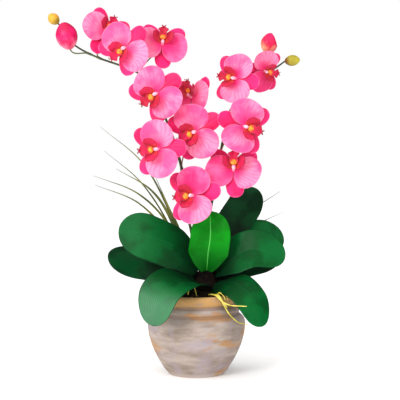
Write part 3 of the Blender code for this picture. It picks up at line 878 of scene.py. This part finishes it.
def sepalSheet(angle, lift, flower, turnSeed):
    # a long oval that curls back a little at its sides
    wave, claw, widest = flower["wave"] + turnSeed, tepalPlan["claw"], sepalPlan["widest"]

    def place(u, v):
        t = 1 - (1 - v) ** 1.4
        reach = claw + (sepalPlan["length"] - claw) * t
        span = widest if t < widest else 1.005 - widest
        swell = max(0.0004, 1 - abs((t - widest) / span) ** 2.3) ** 0.5
        half = sepalPlan["width"] / 2 * max(swell, 0.22 * (1 - t) ** 2)
        rise = lift + sepalPlan["rise"] * t * t - sepalPlan["curl"] * u * u * swell
        rise += sepalPlan["ripple"] * math.sin(5 * t + wave) * abs(u)
        rise -= sepalPlan["crease"] * bump(u, 0, 0.12) * math.sin(math.pi * t) ** 0.5
        skew = sepalPlan["skew"] * math.sin(wave) * t * t
        return reach, half * u + skew, rise

    return tepalSheet(angle, place, sepalPlan["grid"], sepalMagenta)


def hubKnob():
    back, radius = hubPlan["back"], hubPlan["radius"]
    rings = [(radius * wide, -back * deep) for wide, deep in hubPlan["behind"]]
    rings += [(radius * wide, height) for wide, height in hubPlan["front"]]
    knob = growRings(16, rings)
    smoothAll(knob)
    paint(knob, sepalMagenta)
    return knob


def lipSheet(grid, place, thickness):
    sheet = growSheet(*grid, lambda u, v: Vector(place(u, v)) * mm)
    thicken(sheet, thickness * mm, 1)
    paint(sheet, lipRed)
    return sheet


def growTongue():
    def place(u, v):
        waist = 1.7 + 3.9 * bump(v, 0.30, 0.2) + 5.4 * bump(v, 0.72, 0.17)
        half = waist * (1 - ease(0.80, 1.0, v) * 0.85)
        out = 2.5 + 8.5 * math.sin(min(1, v * 1.15) * math.pi * 0.62)
        out += 2.0 * u * u - 0.8 * bump(u, 0, 0.2)
        return half * u, -3.0 - lipPlan["tongueLength"] * v, out

    return lipSheet((8, 16), place, lipPlan["tongueThickness"])


def growLobe(side):
    # each lobe rises beside the throat and opens outwards
    def place(u, v):
        breadth = lipPlan["lobeBreadth"] * math.sin(math.pi * (0.10 + 0.80 * v)) ** 0.7
        out = side * (1.8 + lipPlan["lobeReach"] * v)
        high = 1.8 + lipPlan["lobeHeight"] * math.sin(v * 1.5) + 1.6 * u * u * v
        return out, -5.0 + breadth * u - 3.0 * v, high

    return lipSheet((8, 12), place, lipPlan["lobeThickness"])


def growCallus():
    clearPick()
    bpy.ops.mesh.primitive_uv_sphere_add(segments=18, ring_count=12, radius=1, location=(0, 0, 0))
    callus = bpy.context.object
    wide, deep, high = lipPlan["callus"]
    for point in callus.data.vertices:
        split = 1 + lipPlan["callusSplit"] * abs(point.co.x)
        point.co = Vector((point.co.x * wide, point.co.y * deep * split, point.co.z * high))
        point.co = (point.co + Vector(lipPlan["callusPlace"])) * mm
    smoothAll(callus)
    paint(callus, throatGold)
    return callus


def growColumn():
    column = growRings(16, lipPlan["column"])
    for point in column.data.vertices:
        point.co.y -= lipPlan["nod"] * point.co.z**2  # the column nods over the lip
    smoothAll(column)
    paint(column, columnPale)
    return column


def growTendril(side):
    steps = lipPlan["tendrilSteps"]
    route = smoothRoute(inMm((side * x, y, z) for x, y, z in lipPlan["tendril"]), steps)
    radii = [(lipPlan["tendrilRadius"] - lipPlan["tendrilTaper"] * i) * mm for i in range(steps)]
    tendril = growTube(route, radii, 1)
    paint(tendril, tendrilDark)
    return tendril


def lipModel():
    # a tongue with two tendrils, two upright side lobes, a gold callus and the column
    pieces = [growTongue(), growLobe(-1), growLobe(1), growCallus(), growColumn()]
    return joinAll([*pieces, growTendril(-1), growTendril(1)])


def growFlower(name, flower, lipMaster):
    centre = flowerCentre(name, flower)
    pose = Matrix.Translation(centre) @ facing(flower).to_4x4() @ Matrix.Scale(flower["size"], 4)
    sway = 5 * math.sin(flower["wave"] * 2.1)
    parts = [hubKnob()]
    for edge, angle, swayShare, lift, seed in zip(
        ("left", "right"), petalPlan["angles"], (1, 0.6), petalPlan["lifts"], (0.4, 1.9)
    ):
        # the petal named by deep gets the darker pink as painted shade
        finish = shadedPetalPink if flower["deep"] == edge else petalPink
        parts.append(petalSheet(angle + swayShare * sway, lift, flower, seed, finish))
    dorsalLift, *lateralLifts = sepalPlan["lifts"]
    parts.append(sepalSheet(sepalPlan["dorsal"] - sway, dorsalLift, flower, 0.7))
    for angle, lift in zip(sepalPlan["laterals"], lateralLifts):
        parts.append(sepalSheet(angle + 0.7 * sway, lift, flower, angle))
    bloom, lip = joinAll(parts), copyOf(lipMaster)
    placeIn(bloom, pose)
    keep(bloom, "tepals_" + name, name + "_petals")
    placeIn(lip, pose @ Matrix.Scale(lipPlan["size"], 4))
    keep(lip, "lip_" + name, name + "_lip")
    return centre


lipMaster = lipModel()
flowerCentres = {
    name: growFlower(name, flower, lipMaster) for name, flower in flowerPlan.items()
}
bpy.data.objects.remove(lipMaster)
print("stage: flowers")


budPlan = {
    # bud_left_tip's dark olive foot is painted shadow on its lower right side, away from the tip
    "bud_left_tip": {
        "size": (9, 10), "tip": (-0.7, 0, 0.7), "slot": "bud_green", "finish": "budYellow",
        "foot": (0.26, 0.24, 0.02), "body": (0.66, 0.40, 0.03), "top": (0.56, 0.52, 0.08),
        "vein": (0.80, 0.22, 0.02), "blotch": 0.5,
    },
    "bud_left_large": {
        "size": (17.6, 21.8), "tip": (-0.22, -0.3, 0.93), "slot": "bud_pink", "finish": "budMagenta",
        "foot": (0.88, 0.16, 0.28), "body": (0.82, 0.004, 0.14), "top": (0.62, 0.00, 0.09),
        "vein": (0.50, 0.00, 0.04), "blotch": 0.6,
    },
    "bud_right_opening": {
        "size": (14, 17), "tip": (0.15, -0.2, 1), "slot": "bud_pink", "finish": "budOpening",
        "foot": (0.90, 0.55, 0.28), "body": (0.74, 0.002, 0.07), "top": (0.66, 0.002, 0.12),
        "vein": (0.45, 0.00, 0.03), "open": 0.3, "notch": -0.75,
    },
    "bud_right_tip": {
        "size": (9, 12), "tip": (0.95, -0.1, 0.1), "slot": "bud_green", "finish": "budOlive",
        "foot": (0.16, 0.05, 0.01), "body": (0.36, 0.30, 0.02), "top": (0.50, 0.42, 0.03),
        "vein": (0.30, 0.20, 0.01),
    },
}
budForm = {
    "segments": 48, "rings": 32, "seams": 3, "seamDepth": 0.10, "narrow": 0.16,
    "openDrop": 4, "cleftWidth": 0.36, "cleftDepth": 0.62, "cleftDrop": 7, "veins": 56.5,
}


def budFinish(look):
    # colour runs from the foot to the tip, which is the sphere's own UV height
    finish, tree, sockets = newFinish(look["finish"], Specular_IOR_Level=0.35)
    uv = addNode(tree, "UVMap").outputs[0]
    split = addNode(tree, "SeparateXYZ", {"Vector": uv}).outputs
    mottle = useGroup(tree, softMottle, Patch_Scale=70.0, Grain_Scale=700.0)
    lowered = compute(tree, "SUBTRACT", split[1], 0.12)
    up = compute(tree, "MULTIPLY_ADD", mottle["Patch"], 0.25, lowered)
    turns = compute(tree, "MULTIPLY", split[0], budForm["veins"])
    lines = compute(tree, "ABSOLUTE", compute(tree, "COSINE", turns))
    colour = blendColour(tree, stepBetween(tree, up, 0.10, 0.55), look["foot"], look["body"])
    colour = blendColour(tree, stepBetween(tree, up, 0.60, 0.98), colour, look["top"])
    colour = layOver(tree, colour, mottle["Patch"], look.get("blotch", 0.0), look["vein"])
    colour = layOver(tree, colour, compute(tree, "POWER", lines, 8.0), 0.3, look["vein"])
    coat(tree, sockets, colour, mottle["Grain"], 0.2, 0.32)
    raiseSurface(tree, sockets, compute(tree, "ADD", mottle["Grain"], lines), 0.25, 0.0005)
    return finish


def growBud(name, shape):
    low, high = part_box(name)
    clearPick()
    bpy.ops.mesh.primitive_uv_sphere_add(
        segments=budForm["segments"], ring_count=budForm["rings"], radius=1, location=(0, 0, 0)
    )
    body = bpy.context.object
    across, along = shape["size"]
    opened = shape.get("open", 0.0)
    for point in body.data.vertices:
        angle = math.atan2(point.co.y, point.co.x)
        z = point.co.z
        upper = max(0, z)
        seam = abs(math.sin(angle * budForm["seams"] / 2 + z * 0.5))
        groove = 1 - budForm["seamDepth"] * (1 - seam) ** 5 * (1 - 0.5 * abs(z))
        narrow = 1 - budForm["narrow"] * upper**2 + 0.04 * z
        gape = 1 + opened * upper**2 * (seam**2 - 0.55)
        radius = groove * narrow * gape * across
        height = z * along * (1 + 0.05 * bump(abs(z), 1, 0.2))
        height -= opened * budForm["openDrop"] * (1 - seam) * upper
        if "notch" in shape:
            # the petals part at one side, leaving a cleft between them
            cleft = bump(angle, shape["notch"], budForm["cleftWidth"]) * ease(-0.2, 0.6, z)
            radius *= 1 - budForm["cleftDepth"] * cleft
            height -= budForm["cleftDrop"] * cleft
        point.co = Vector((point.co.x * radius, point.co.y * radius, height)) * mm
    aim = Vector(shape["tip"]).to_track_quat("Z", "Y").to_matrix().to_4x4()
    placeIn(body, Matrix.Translation((low + high) / 2) @ aim)
    smoothAll(body)
    keep(body, "body_" + name, name, budFinish(shape))
    return (low + high) / 2


budCentres = {name: growBud(name, shape) for name, shape in budPlan.items()}
print("stage: buds")


# each stalk leaves its stem at this share of the stem's route
spikePlan = {
    "spike_left": {
        "stem": (
            (9, 4, 186), (-11, 2, 247), (-25, 0, 343), (-51, 2, 423), (-88, 4, 489),
            (-120, 2, 507), (-164, 0, 523), (-203, 6, 545), (-224.5, -8, 576.5),
        ),
        "stalks": {
            "flower_left_8": 0.10, "flower_left_6": 0.24, "flower_left_7": 0.27,
            "flower_left_5": 0.33, "flower_left_4": 0.40, "flower_left_3": 0.50,
            "flower_left_2": 0.62, "flower_left_1": 0.73, "bud_left_large": 0.78,
        },
    },
    "spike_right": {
        "stem": (
            (23, 4, 186), (23, 2, 263), (33, 0, 322), (43, 2, 383),
            (58, 4, 440), (99, 10, 481), (144.6, 1.4, 515.6),
        ),
        "stalks": {
            "flower_right_4": 0.28, "flower_right_3": 0.44, "flower_right_2": 0.62,
            "flower_right_1": 0.74, "bud_right_opening": 0.80,
        },
    },
}
stemPlan = {
    "foot": 2.5, "tip": 1.3, "stalk": 1.15, "steps": 150, "stalkSteps": 26,
    "node": 0.30, "nodeWidth": 0.008, "leave": 0.35, "arrive": 0.45,
    "bractLength": 7.5, "bractHalf": 2.6, "bractStart": 1.5,
}

stemLook = {
    "low": (0.022, 0.040, 0.010), "high": (0.055, 0.085, 0.022), "speck": (0.10, 0.05, 0.03),
    "rough": 0.38, "patch": 40.0, "grain": 500.0,
}
stalkLook = {
    "low": (0.10, 0.15, 0.04), "high": (0.24, 0.16, 0.08), "speck": (0.42, 0.10, 0.12),
    "rough": 0.4, "patch": 60.0, "grain": 600.0,
}
stemGreen = plainFinish("stemGreen", stemLook)
stalkGreen = plainFinish("stalkGreen", stalkLook)


def stalkEnd(name):
    if name in flowerPlan:
        ahead = facing(flowerPlan[name]) @ Vector((0, 0, 1))
        back = hubPlan["back"] * flowerPlan[name]["size"] * mm
        return flowerCentres[name] - ahead * (back - 0.4 * mm), ahead
    ahead = Vector(budPlan[name]["tip"]).normalized()
    return budCentres[name] - ahead * (budPlan[name]["size"][1] - 0.6) * mm, ahead


def growBract(start, ahead, outward):
    # a small pointed scale where a stalk leaves the stem
    side = ahead.cross(outward).normalized()

    def place(u, v):
        up = stemPlan["bractLength"] * v - stemPlan["bractStart"]
        out = 1.9 + 1.6 * v * v - 1.4 * u * u
        half = stemPlan["bractHalf"] * (1 - v) ** 0.6
        return start + (ahead * up + outward * out + side * half * u) * mm

    bract = growSheet(4, 7, place)
    thicken(bract, 0.5 * mm, 1)
    paint(bract, stemGreen)
    return bract


def growStem(points, shares):
    # the stem swells a little at every node, where a stalk leaves it
    steps = stemPlan["steps"]
    radii = []
    for i in range(steps):
        t = i / (steps - 1)
        swell = sum(bump(t, share, stemPlan["nodeWidth"]) for share in shares)
        radius = stemPlan["foot"] + (stemPlan["tip"] - stemPlan["foot"]) * t
        radii.append(radius * (1 + stemPlan["node"] * swell) * mm)
    stem = growTube(smoothRoute(points, steps), radii, 3)
    paint(stem, stemGreen)
    return stem


def growStalk(owner, points, share):
    end, ahead = stalkEnd(owner)
    start = alongLine(points, share)
    along = (alongLine(points, share + 0.01) - start).normalized()
    reach = (end - start).length
    leave = start + along * reach * stemPlan["leave"]
    arrive = end - ahead * reach * stemPlan["arrive"]
    count = stemPlan["stalkSteps"]
    route = arcRoute(start, leave, arrive, end, count)
    radii = []
    for i in range(count):
        thicker = 0.35 * (1 - ease(0, 0.2, i / count)) + 0.25 * ease(0.8, 1, i / count)
        radii.append(stemPlan["stalk"] * (1 + thicker) * mm)
    stalk = growTube(route, radii, 2)
    paint(stalk, stalkGreen)
    outward = (route[6] - start) - along * (route[6] - start).dot(along)
    return [stalk, growBract(start, along, outward.normalized())]


def growSpike(name, shape):
    points = inMm(shape["stem"])
    parts = [growStem(points, shape["stalks"].values())]
    for owner, share in shape["stalks"].items():
        parts += growStalk(owner, points, share)
    keep(joinAll(parts), "stem_" + name, name)


for name, shape in spikePlan.items():
    growSpike(name, shape)
print("stage: spikes")


rootPlan = {
    "root_over_rim_long": {
        "routes": (
            ((26, -36, 134), (36, -56, 138), (44, -58, 123), (52.5, -57, 108.4), (62, -53, 97.7),
             (71, -45, 90.5), (84, -36, 87)),
        ),
        "radius": 1.35,
    },
    "root_over_rim_short": {
        "routes": (
            ((20, -36, 136), (31, -58, 138), (43, -68, 128.5), (55, -84, 125.7), (69, -98, 126.9),
             (80, -103, 127)),
            ((24, -38, 135), (35, -58, 137.6), (44, -64, 127), (50, -66, 119)),
        ),
        "radius": 1.35,
    },
    "root_over_rim_curled": {
        "routes": (
            ((34, -34, 131), (40, -46, 141), (48, -54, 137.5), (51, -59, 130)),
            ((33, -36, 131), (37, -49, 141), (44, -57, 137), (47, -62, 131)),
        ),
        "radius": 1.2,
    },
    "root_loop": {
        "routes": (((-14, -38, 136), (-11, -43, 146), (-4, -45, 149.5), (1, -43, 134)),),
        "radius": 1.2,
    },
}
rootLook = {
    "low": (0.62, 0.50, 0.05), "high": (0.78, 0.68, 0.14), "speck": (0.40, 0.36, 0.06),
    "rough": 0.45, "patch": 90.0, "grain": 500.0,
}
rootYellow = plainFinish("rootYellow", rootLook)


def growStrand(points, radius, steps=34):
    # a root thins towards its end and is a little uneven
    radii = []
    for i in range(steps):
        taper = 1 - 0.55 * (i / (steps - 1)) ** 1.5
        radii.append(radius * taper * (1 + 0.10 * math.sin(i * 0.9)) * mm)
    return growTube(smoothRoute(inMm(points), steps), radii, 2)


for name, shape in rootPlan.items():
    strands = [growStrand(points, shape["radius"]) for points in shape["routes"]]
    keep(joinAll(strands), "strands_" + name, name, rootYellow)
print("stage: roots")


# each blade: four places on its route and its width
grassPlan = {
    "grass_left": (
        (((-8, 29, 141), (-36, 44, 240), (-86, 40, 342), (-160, 30, 408)), 3.0),
        (((-9, 30, 141), (-42, 56, 232), (-92, 52, 312), (-154, 40, 367)), 2.6),
        (((-10, 28, 141), (-46, 52, 238), (-98, 46, 295), (-172, 34, 326)), 3.4),
        (((-11, 29, 141), (-46, 50, 222), (-98, 42, 280), (-169, 28, 311)), 3.4),
        (((-7, 28, 141), (-38, 40, 240), (-74, 36, 300), (-134, 30, 338)), 4.4),
        (((-6, 29, 141), (-26, 32, 225), (-45, 28, 270), (-67, 24, 322)), 5.4),
    ),
    "grass_right": (
        (((14, 30, 141), (40, 58, 205), (88, 64, 260), (141, 58, 298)), 3.0),
        (((15, 31, 141), (46, 62, 200), (98, 68, 238), (150, 62, 264)), 3.0),
        (((13, 30, 141), (30, 54, 215), (46, 62, 265), (66, 60, 306)), 4.4),
    ),
}
grassLook = {
    "low": (0.045, 0.075, 0.008), "high": (0.17, 0.18, 0.03), "speck": (0.26, 0.20, 0.06),
    "rough": 0.45, "patch": 25.0, "grain": 500.0,
}
grassOlive = plainFinish("grassOlive", grassLook)


def growBlade(points, width):
    line = inMm(points)

    def place(u, v):
        here = alongLine(line, v)
        ahead = alongLine(line, min(1, v + 0.04)) - alongLine(line, max(0, v - 0.04))
        side = ahead.cross(Vector((0, -1, 0))).normalized()
        face = side.cross(ahead.normalized())
        half = width / 2 * mm * (0.55 + 0.45 * ease(0, 0.3, v)) * (1 - ease(0.45, 1.02, v) * 0.92)
        return here + side * half * u + face * abs(u) * half * 0.45

    blade = growSheet(4, 36, place)
    thicken(blade, 0.5 * mm)
    return blade


for name, blades in grassPlan.items():
    tuft = joinAll([growBlade(points, width) for points, width in blades])
    keep(tuft, "blades_" + name, name, grassOlive)
print("stage: grass")


studioPlan = {
    "floorSize": 6.0,
    "floorColour": (1.0, 1.0, 1.0),
    "ambient": 0.62,
    "reflected": 0.05,
    "target": (0.006, 0, 0.288),
    "distance": 2.2,
    "pitch": 4.4,
    "lens": 120,
    "sensor": 36,
    # each light: its kind, place, size or spread, power and tint
    "lights": {
        "keyLight": ("SUN", (-1.1, -1.6, 3.2), 1.9, 2.2, (1.0, 0.995, 0.98)),
        "fillLight": ("AREA", (1.9, -2.2, 1.0), 1.6, 12, (0.98, 0.99, 1.0)),
        "glossLight": ("AREA", (-0.9, -1.4, 0.9), 0.5, 14, (1.0, 1.0, 1.0)),
    },
    "aim": (0, 0, 0.3),
}


def addFloor():
    clearPick()
    bpy.ops.mesh.primitive_plane_add(size=studioPlan["floorSize"], location=(0, 0.6, 0))
    floor = bpy.context.object
    floor.name = "paleFloor"
    finish, tree, sockets = newFinish("paleFloor", Roughness=0.9, Specular_IOR_Level=0.1)
    sockets["Base Color"].default_value = (*studioPlan["floorColour"], 1)
    paint(floor, finish)


def addLight(name, kind, place, size, power, tint):
    light = bpy.data.lights.new(name, kind)
    light.energy, light.color = power, tint
    if kind == "SUN":
        light.angle = size
    else:
        light.size = size
    lamp = bpy.data.objects.new(name, light)
    bpy.context.scene.collection.objects.link(lamp)
    lamp.location = place
    towards = Vector(studioPlan["aim"]) - Vector(place)
    lamp.rotation_euler = towards.to_track_quat("-Z", "Y").to_euler()


def addWorld():
    # white to the camera, softer as ambient light, and nearly dark in reflections
    world = bpy.data.worlds.new("whiteRoom")
    world.use_nodes = True
    room = world.node_tree
    background = room.nodes["Background"].inputs
    ambient = studioPlan["ambient"]
    rays = addNode(room, "LightPath").outputs
    shown = compute(room, "MAXIMUM", rays["Is Camera Ray"], ambient)
    mirrored = compute(room, "MULTIPLY", rays["Is Glossy Ray"], ambient - studioPlan["reflected"])
    background[0].default_value = (1, 1, 1, 1)
    room.links.new(compute(room, "SUBTRACT", shown, mirrored), background[1])
    bpy.context.scene.world = world
    bpy.context.scene.view_settings.view_transform = "Standard"


def addCamera():
    pitch = math.radians(studioPlan["pitch"])
    away = Vector((0, -math.cos(pitch), math.sin(pitch))) * studioPlan["distance"]
    camera = bpy.data.objects.new("camera", bpy.data.cameras.new("camera"))
    camera.data.lens, camera.data.sensor_width = studioPlan["lens"], studioPlan["sensor"]
    camera.location = Vector(studioPlan["target"]) + away
    camera.rotation_euler = (math.pi / 2 - pitch, 0, 0)
    bpy.context.scene.collection.objects.link(camera)
    bpy.context.scene.camera = camera


addFloor()
for name, settings in studioPlan["lights"].items():
    addLight(name, *settings)
addWorld()
addCamera()
print("stage: studio")
